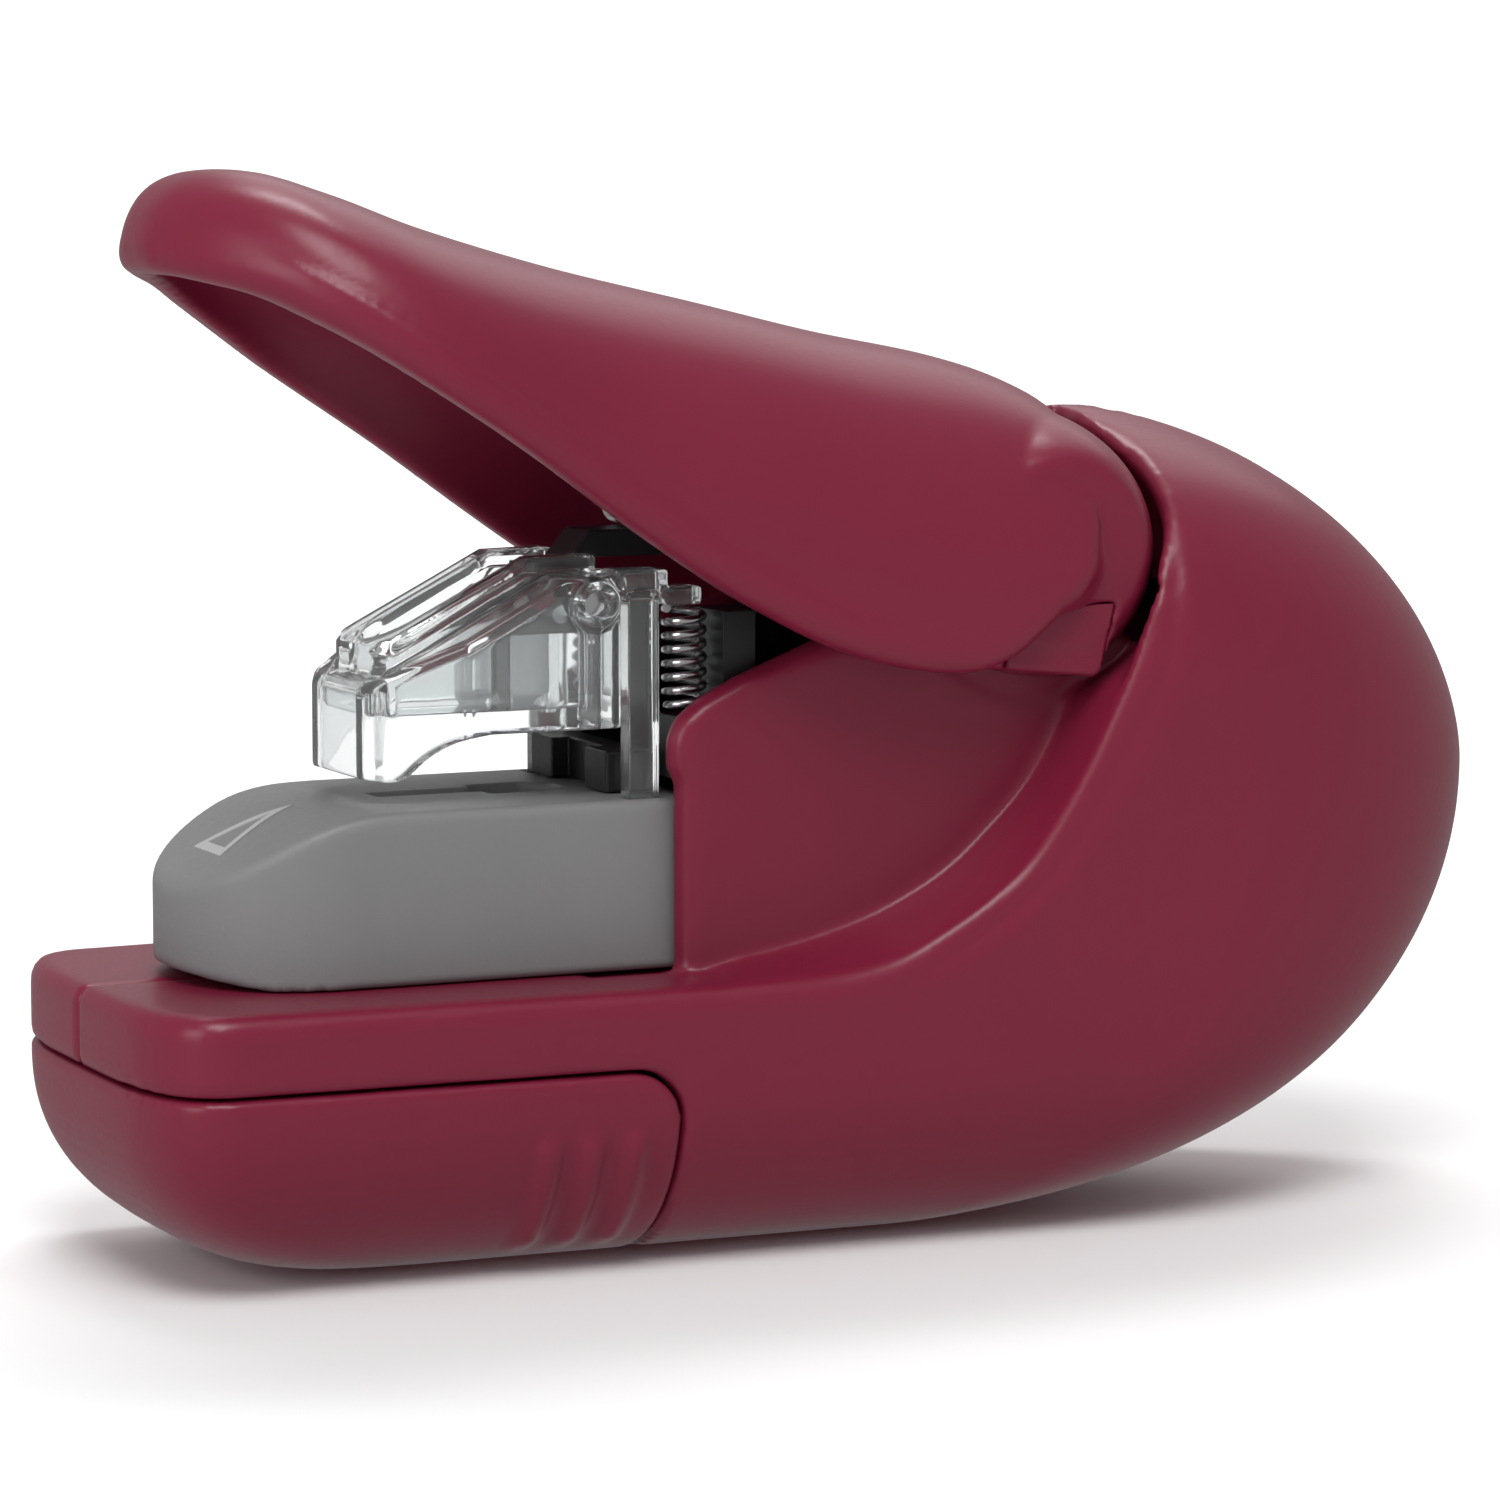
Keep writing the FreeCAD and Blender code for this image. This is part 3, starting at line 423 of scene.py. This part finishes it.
# ---- handle: top, half width and depth of the crown at places along it, and its lower edge ----
HANDLE_BACK = (3, 10, 15, 21, 30, 40, 48, 56, 61, 66, 70)
HANDLE_TOP = (66.9, 66.85, 65.5, 63.35, 60.8, 58.5, 56.6, 55.0, 53.3, 50.3, 47.0)
HANDLE_HALF = (12.9, 14.3, 15.2, 15.8, 15.6, 16.3, 17.0, 17.2, 16.9, 15.8, 14.2)
HANDLE_CROWN = (6.8, 7.2, 8.8, 10.4, 13.0, 15.8, 16.6, 15.6, 14.0, 11.0, 9.0)
HANDLE_LOW = [(2.5, 61.2), (5, 60.5), (8.5, 59.5), (11.2, 58.1), (14.2, 56.3), (17.7, 54.0), (21.4, 51.6),
              (25, 49.2), (28.2, 46.9), (31.6, 44.5), (35.8, 41.7), (39.5, 39.6), (42.5, 38.1), (45.5, 37.0),
              (49, 36.2), (52.4, 36.0), (55.2, 36.8), (57.4, 38.4), (59.6, 40.4), (61.2, 42.6), (61.9, 45.0),
              (62.3, 48.0), (62.6, 52.0), (62.7, 58.0)]


def handle_form(g, inset, flare=0.0):
    """The handle's rounded outside, moved in by inset and widened by flare."""
    tip = np.clip(1 - (g.back - 3.7 - inset) / 14.5, 0, 1.5)
    round_tip = np.sqrt(np.clip(1 - tip**2, 0, 1))
    top = through(g.back, HANDLE_BACK, HANDLE_TOP) - inset - 8.1 * (1 - round_tip) ** 2.6
    crown = through(g.back, HANDLE_BACK, HANDLE_CROWN)
    half = through(g.back, HANDLE_BACK, HANDLE_HALF) - inset + flare
    rise = np.clip((g.z - top + crown) / crown, 0, 3)
    return g.scaled((g.side / half) ** 2.4 - all_of(signed_power(1 - tip**2, 1.2), 1 - rise**2.4))


def drum_field(g):
    """Curved shield and end walls that turn with the handle inside the rim."""
    fan = [(HINGE_BACK, HINGE_Z)]
    for degrees in (75, 110, 145, 180, 212):
        turn = math.radians(degrees)
        fan.append((HINGE_BACK - 20 * math.cos(turn), HINGE_Z + 20 * math.sin(turn)))
    barrel = drum_round(g, 0.0, DRUM_HALF)
    cavity = np.maximum(crossbar(g, HINGE_BACK, HINGE_Z, DRUM_CAVITY_RADIUS), g.side - DRUM_CAVITY_HALF)
    shield = np.maximum(np.maximum(barrel, region(g.back, g.z, fan)), -cavity)
    plate = [(50.6, 36.4), (61.6, 35.2), (62.3, 35.7), (63.3, 39.9), (63.7, 43.0), (59.2, 47.0),
             (52.0, 44.0)]
    plate = np.maximum(region(g.back, g.z, plate), g.side - DRUM_HALF)
    end = smooth_min(np.maximum(barrel, 35.2 - g.z), plate, 1.0)
    end = np.maximum(end, DRUM_CAVITY_HALF - g.side)
    return smooth_max(np.minimum(shield, end), g.side - DRUM_HALF, 0.8)


def cap_region(g, grow):
    """Plate let into the lower rear of each end wall."""
    corners = [(55.4 - grow, 39.8 + grow), (62.9 + grow, 39.8 + grow), (61.4 + grow, 33),
               (55.4 - grow, 33)]
    return np.maximum(region(g.back, g.z, corners), DRUM_HALF - 1.0 - grow - g.side)


def handle_field(g):
    """The hollow handle with its lip, the dimple at its tip and the drum."""
    low = region(g.back, g.z, sampled(HANDLE_LOW) + [(62.7, 90), (-20, 90), (-20, 61.2)])
    fade = smooth_step(g.back, 6, 10) * (1 - smooth_step(g.back, 38, 50))
    outer = handle_form(g, 0.0, 0.35 * smooth_step(low, -2.6, -2.0) * fade)
    dimple = np.sqrt((g.back - 11.4) ** 2 + (g.side - 20.0) ** 2 + (g.z - 65.6) ** 2) - 8.0
    solid = smooth_max(outer, -dimple, 0.5)
    solid = smooth_max(solid, low, 1.1)
    inside = handle_form(g, HANDLE_WALL)
    solid = smooth_max(solid, -inside, 0.5)
    merge = 0.05 + 2.6 * smooth_step(g.back, 57, 60) * (1 - smooth_step(g.z, 41, 45))
    drum = smooth_max(drum_field(g), -cap_region(g, 0.1), 0.12)
    solid = smooth_min(solid, drum, merge)
    return np.maximum(solid, -crossbar(g, HINGE_BACK, HINGE_Z, 1.65, (-13.9, 13.9)))


def cap_field(g):
    """The part of the drum's end wall that lies in the cap's outline."""
    return smooth_max(drum_field(g), cap_region(g, 0.0), 0.12)


# ---- anvil and clear head ----
ARROW_PROUD = 0.06  # how far the anvil's top lies below the arrow
HEAD_PIN = (30.9, 40.3)  # back and z of the head's pins


def keyhole(g):
    """The slot that the tongue is cut through, seen from above."""
    half = [(19.3, 1.0), (26.2, 1.0), (26.2, 2.3), (29.9, 2.3), (31.4, 1.0)]
    return region(g.back, g.y, half + [(back, -y) for back, y in reversed(half)])


def anvil_field(g):
    """The gray block: rounded nose, sloping top, keyhole, wells for the guide columns."""
    cap = np.clip(1 - (g.back - 5.7) / 9.5, 0, 2)
    plan = g.scaled((g.side / 9.3) ** 2.3 - (1 - cap**2.3))
    plan = np.maximum(plan, g.back - 37.6)
    slope = [(-2.0, 19.5), (3.0, 22.2), (6.0, 24.0), (9.2, 25.9), (12.6, 27.55), (15.5, 28.25),
             (18.5, ANVIL_TOP)]
    top = region(g.back, g.z, sampled(slope) + [(60, ANVIL_TOP), (60, -20), (-20, -20), (-20, 9.8)])
    solid = smooth_max(plan, top + ARROW_PROUD, 0.7)
    solid = np.maximum(solid, PLATFORM + 0.1 - g.z)
    lift = region(g.back, g.z, [(0, 10), (9.2, 10), (9.2, 17.8), (5.0, 18.7), (0, 18.7)])
    solid = smooth_max(solid, -lift, 0.4)
    solid = smooth_max(solid, -keyhole(g), 0.15)
    well = box_field(g, (32.7, 35.3), (6.35, 8.55), (25.0, 40.0))
    well = np.minimum(well, box_field(g, (32.7, 35.3), (-8.55, -6.35), (25.0, 40.0)))
    room = box_field(g, (17.5, 34.5), (-7.1, 7.1), (0.0, 25.9))
    return np.maximum(smooth_max(solid, -well, 0.2), -room)


def head_plan(g, inset):
    """The head's outline seen from above."""
    half = [(16.8 + inset, 3.9 - inset * 0.6), (17.4 + inset, 5.2 - inset * 0.8),
            (22.4 + inset * 0.4, 8.0 - inset), (32.6 - inset, 8.0 - inset)]
    return region(g.back, g.y, half + [(back, -y) for back, y in reversed(half)])


def head_field(g):
    """Clear clamp head: beak, side walls, raised block, tabs, bosses and guide columns."""
    top = [(16.0, 35.0), (18.2, 36.2), (22.8, 38.6), (27.3, 41.0), (28.9, 41.9), (50, 42.2), (50, 10),
           (16.0, 10)]
    under = [(back, z - 1.1) for back, z in top]
    outer = smooth_max(head_plan(g, 0.0), region(g.back, g.z, top), 0.5)
    solid = smooth_max(outer, -np.maximum(head_plan(g, 1.1), region(g.back, g.z, under)), 0.3)
    ridge = [(18.0, 33.6), (18.0, 37.8), (19.9, 38.8), (25.2, 41.5), (28.1, 43.0), (32.6, 43.1),
             (32.6, 33.6)]
    plan = [(18.0, 3.2), (18.9, 4.5), (32.6, 4.5), (32.6, -4.5), (18.9, -4.5), (18.0, -3.2)]
    raised = smooth_max(region(g.back, g.z, ridge), region(g.back, g.y, plan), 0.6)
    solid = smooth_min(solid, raised, 0.3)
    room = [(19.2, 10), (19.2, 37.2), (25.2, 40.4), (28.1, 41.9), (31.7, 42.0), (31.7, 10)]
    solid = smooth_max(solid, -np.maximum(region(g.back, g.z, room), g.side - 3.6), 0.3)
    window = np.maximum(np.abs(g.back - 24.3) - 3.1, g.side - 2.4)
    window = np.minimum(window, np.hypot(g.back - 21.2, g.y) - 2.4)
    solid = smooth_max(solid, -np.maximum(window, 35.0 - g.z), 0.3)
    stem = np.maximum(np.abs(g.back - 30.15) - 2.85, g.side - 2.4)
    solid = smooth_max(solid, -np.maximum(stem, 31.0 - g.z), 0.3)
    foot = sampled([(17.0, 29.8), (18.9, 29.8), (20.4, 31.2), (22.0, 32.2), (24.0, 32.6)])
    foot = [(-20, 0), (-20, 29.8)] + foot + [(60, 32.6), (60, 0)]
    solid = smooth_max(solid, -region(g.back, g.z, foot), 0.3)
    for back, side, z in (((32.4, 35.7), (5.2, 8.0), (40.6, 42.3)), ((35.5, 38.0), (5.8, 8.0), (40.1, 41.2)),
                          ((33.0, 35.0), (6.65, 8.25), (27.3, 40.8))):
        mirrored = (-side[1], -side[0])
        pair = np.minimum(box_field(g, back, side, z), box_field(g, back, mirrored, z))
        solid = smooth_min(solid, pair, 0.25)
    boss = np.maximum(crossbar(g, *HEAD_PIN, 1.5), np.abs(g.side - 7.6) - 0.72)
    solid = smooth_min(solid, boss, 0.2)
    return smooth_max(solid, -crossbar(g, *HEAD_PIN, 0.8), 0.15)


# ---- materials ----
def material(name, colour, roughness, bump=0.0, grain=900.0, variation=0.06, **values):
    """A moulded or metal surface: slight colour drift, uneven gloss and fine surface grain."""
    made = bpy.data.materials.new(name)
    made.use_nodes = True
    nodes, links = made.node_tree.nodes, made.node_tree.links
    shader = nodes["Principled BSDF"]
    for key, value in values.items():
        shader.inputs[key.replace("_", " ")].default_value = value
    place = nodes.new("ShaderNodeTexCoord")
    broad = nodes.new("ShaderNodeTexNoise")
    broad.inputs["Scale"].default_value = 60.0
    broad.inputs["Detail"].default_value = 3.0
    links.new(place.outputs["Object"], broad.inputs["Vector"])
    mix = nodes.new("ShaderNodeMix")
    mix.data_type = "RGBA"
    low = [c * (1 - variation) for c in colour]
    high = [min(c * (1 + variation), 1.0) for c in colour]
    mix.inputs["A"].default_value = (*low, 1)
    mix.inputs["B"].default_value = (*high, 1)
    links.new(broad.outputs["Fac"], mix.inputs["Factor"])
    links.new(mix.outputs["Result"], shader.inputs["Base Color"])
    fine = nodes.new("ShaderNodeTexNoise")
    fine.inputs["Scale"].default_value = grain
    fine.inputs["Detail"].default_value = 2.0
    links.new(place.outputs["Object"], fine.inputs["Vector"])
    spread = nodes.new("ShaderNodeMapRange")
    spread.inputs["To Min"].default_value = roughness * 0.85
    spread.inputs["To Max"].default_value = roughness * 1.15
    links.new(fine.outputs["Fac"], spread.inputs["Value"])
    links.new(spread.outputs["Result"], shader.inputs["Roughness"])
    if bump:
        relief = nodes.new("ShaderNodeBump")
        relief.inputs["Strength"].default_value = bump
        relief.inputs["Distance"].default_value = 0.00005
        links.new(fine.outputs["Fac"], relief.inputs["Height"])
        links.new(relief.outputs["Normal"], shader.inputs["Normal"])
    return made


def clear_material():
    """Clear moulded plastic: faintly gray, with a slightly uneven surface."""
    made = bpy.data.materials.new("clear_plastic")
    made.use_nodes = True
    nodes, links = made.node_tree.nodes, made.node_tree.links
    shader = nodes["Principled BSDF"]
    shader.inputs["Base Color"].default_value = (0.9, 0.92, 0.92, 1)
    shader.inputs["Transmission Weight"].default_value = 0.95
    shader.inputs["IOR"].default_value = 1.49
    place = nodes.new("ShaderNodeTexCoord")
    wave = nodes.new("ShaderNodeTexNoise")
    wave.inputs["Scale"].default_value = 350.0
    links.new(place.outputs["Object"], wave.inputs["Vector"])
    spread = nodes.new("ShaderNodeMapRange")
    spread.inputs["To Min"].default_value = 0.02
    spread.inputs["To Max"].default_value = 0.09
    links.new(wave.outputs["Fac"], spread.inputs["Value"])
    links.new(spread.outputs["Result"], shader.inputs["Roughness"])
    relief = nodes.new("ShaderNodeBump")
    relief.inputs["Strength"].default_value = 0.15
    relief.inputs["Distance"].default_value = 0.0001
    links.new(wave.outputs["Fac"], relief.inputs["Height"])
    links.new(relief.outputs["Normal"], shader.inputs["Normal"])
    return made


RED = material("red_plastic", (0.178, 0.0105, 0.034), 0.33, bump=0.12, grain=2600.0,
               Specular_IOR_Level=0.38)
GRAY = material("gray_plastic", (0.2, 0.2, 0.203), 0.5, bump=0.35, grain=2200.0)
PALE = material("pale_mark", (0.42, 0.42, 0.42), 0.5, bump=0.1)
BLACK = material("black_plastic", (0.012, 0.012, 0.013), 0.4, bump=0.2, grain=1800.0)
STEEL = material("steel", (0.62, 0.62, 0.63), 0.22, bump=0.15, grain=3000.0, Metallic=1.0)
CLEAR = clear_material()

# ---- pieces: grid steps in millimetres ----
BODY_STEP = 0.38
COVER_STEP = 0.3
HANDLE_STEP = 0.35
CAP_STEP = 0.15
ANVIL_STEP = 0.25
HEAD_STEP = 0.16


def build_shells():
    """The red pieces: both halves of the body, the belly cover, the handle and its caps."""
    for side, name in ((1, "body_shell_left"), (-1, "body_shell_right")):
        g = Grid((-1.2, 97.2), (-0.7, 20.6), (-1.1, 53.2), BODY_STEP)
        mesh_piece(name + "_skin", g, body_field(g, side), "housing", [name], mirror=side < 0,
                   soft=crown_share)
    g = Grid((-1.2, 34.0), (-18.4, 18.4), (-1.1, 13.8), COVER_STEP)
    mesh_piece("bottom_cover_skin", g, cover_field(g), "cover", ["bottom_cover"])
    g = Grid((1.6, 70.0), (-18.6, 18.6), (32.6, 68.4), HANDLE_STEP)
    mesh_piece("handle_skin", g, handle_field(g), "handle", ["handle_shell", "handle_drum"],
               soft=tip_share)
    g = Grid((54.6, 64.5), (13.6, 16.4), (33.6, 41.0), CAP_STEP)
    for side, name in ((1, "left"), (-1, "right")):
        mesh_piece("pivot_cap_" + name + "_skin", g, cap_field(g), "handle", ["pivot_caps"],
                   mirror=side < 0)


def build_anvil():
    g = Grid((4.6, 38.6), (-10.4, 10.4), (16.8, 29.6), ANVIL_STEP)
    mesh_piece("anvil_skin", g, anvil_field(g), "housing", ["anvil_block"])


def build_head():
    g = Grid((15.8, 39.0), (-9.2, 9.2), (26.5, 44.2), HEAD_STEP)
    mesh_piece("clear_head_skin", g, head_field(g), "head", ["clear_head"])


def finish_material(piece, made):
    """Gives a piece one material in place of those it has."""
    piece.data.materials.clear()
    piece.data.materials.append(made)


def bevelled(piece, width):
    """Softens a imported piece's edges."""
    weld = piece.modifiers.new("weld", "WELD")
    weld.merge_threshold = 0.00001
    bevel = piece.modifiers.new("bevel", "BEVEL")
    bevel.width = width
    bevel.segments = 2
    bevel.limit_method = "ANGLE"
    bevel.angle_limit = math.radians(35)
    piece.modifiers.new("normals", "WEIGHTED_NORMAL").keep_sharp = True


# ---- studio: angles in degrees, places and sizes in metres, the lens in millimetres ----
CAMERA_TURN = 25.0  # off the left side, towards the nose
CAMERA_LIFT = 6.5
CAMERA_REACH = 0.35
CAMERA_AIM = (0.00121, -0.00425, 0.02934)
CAMERA_LENS = 130.2
CAMERA_SENSOR = 36.0
WORLD_STRENGTH = 0.36
# name, place, size, watts
LAMPS = [("key", (0.15, 0.35, 0.6), 0.35, 2.8), ("nose", (0.6, 0.25, 0.25), 0.35, 1.1),
         ("back", (-0.3, -0.4, 0.5), 0.5, 0.7), ("wall", (-0.25, -0.55, 1.3), 0.6, 18.0)]
LAMP_AIM = (0, 0, 0.03)
WALL_AIM = (-0.6, -1.3, 0.5)
SWEEP_START = 0.9  # where the floor starts to curve up, away from the camera
SWEEP_RADIUS = 0.6


def backdrop():
    """A pale floor that sweeps up behind the object, seen from the camera."""
    turn = math.radians(CAMERA_TURN)
    away = Vector((-math.sin(turn), -math.cos(turn), 0))
    across = Vector((math.cos(turn), -math.sin(turn), 0))
    profile = [(-3.0, 0.0), (0.0, 0.0), (SWEEP_START, 0.0)]
    for degrees in range(6, 91, 6):
        bend = math.radians(degrees)
        profile.append((SWEEP_START + SWEEP_RADIUS * math.sin(bend), SWEEP_RADIUS * (1 - math.cos(bend))))
    profile.append((SWEEP_START + SWEEP_RADIUS, 3.0))
    corners = []
    for reach, height in profile:
        for side in (-4.0, 4.0):
            corners.append(away * reach + across * side + Vector((0, 0, height)))
    faces = [(k, k + 1, k + 3, k + 2) for k in range(0, len(corners) - 2, 2)]
    mesh = bpy.data.meshes.new("floor")
    mesh.from_pydata(corners, [], faces)
    mesh.shade_smooth()
    floor = bpy.data.objects.new("floor", mesh)
    bpy.context.scene.collection.objects.link(floor)
    paper = bpy.data.materials.new("floor_paper")
    paper.use_nodes = True
    shader = paper.node_tree.nodes["Principled BSDF"]
    shader.inputs["Base Color"].default_value = (0.9, 0.9, 0.9, 1)
    shader.inputs["Roughness"].default_value = 0.95
    mesh.materials.append(paper)
    floor.visible_glossy = False


def light_and_camera():
    """Soft lights, and the camera off the nose's left side."""
    world = bpy.data.worlds.new("studio")
    bpy.context.scene.world = world
    world.use_nodes = True
    world.node_tree.nodes["Background"].inputs["Color"].default_value = (1, 1, 1, 1)
    world.node_tree.nodes["Background"].inputs["Strength"].default_value = WORLD_STRENGTH
    for name, place, size, power in LAMPS:
        lamp = bpy.data.lights.new(name, "AREA")
        lamp.size = size
        lamp.energy = power
        light = bpy.data.objects.new(name, lamp)
        bpy.context.scene.collection.objects.link(light)
        light.location = place
        target = Vector(WALL_AIM if name == "wall" else LAMP_AIM)
        light.rotation_euler = (target - Vector(place)).to_track_quat("-Z", "Y").to_euler()
    aim = Vector(CAMERA_AIM)
    turn, lift = math.radians(CAMERA_TURN), math.radians(CAMERA_LIFT)
    away = Vector((math.sin(turn) * math.cos(lift), math.cos(turn) * math.cos(lift), math.sin(lift)))
    lens = bpy.data.cameras.new("camera")
    lens.sensor_width = CAMERA_SENSOR
    lens.lens = CAMERA_LENS
    camera = bpy.data.objects.new("camera", lens)
    bpy.context.scene.collection.objects.link(camera)
    camera.location = aim + away * CAMERA_REACH
    camera.rotation_euler = (-away).to_track_quat("-Z", "Y").to_euler()
    bpy.context.scene.camera = camera
    bpy.context.scene.view_settings.view_transform = "Standard"


BEVEL_WIDTH = 0.00015  # metres

build_shells()
build_anvil()
build_head()
FINISHES = {"red_shell": RED, "gray_anvil": GRAY, "pale_mark": PALE, "clear_plastic": CLEAR,
            "black_plastic": BLACK, "steel": STEEL}
slots = {part["node"]: part["material_slot"] for part in frame["record"]["subparts"]}
for name, node in frame["nodes"].items():
    finish_material(node, FINISHES[slots[name]])
for piece in bpy.context.scene.objects:
    if piece.name.endswith("_skin"):
        kind = {"anvil_skin": GRAY, "clear_head_skin": CLEAR}
        finish_material(piece, kind.get(piece.name, RED))
for name in ("blade_carrier", "press_lever", "inner_frame", "paper_stop", "die_plate", "tongue_pusher"):
    bevelled(frame["nodes"][name], BEVEL_WIDTH)
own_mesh(frame["nodes"]["return_springs"])
backdrop()
light_and_camera()
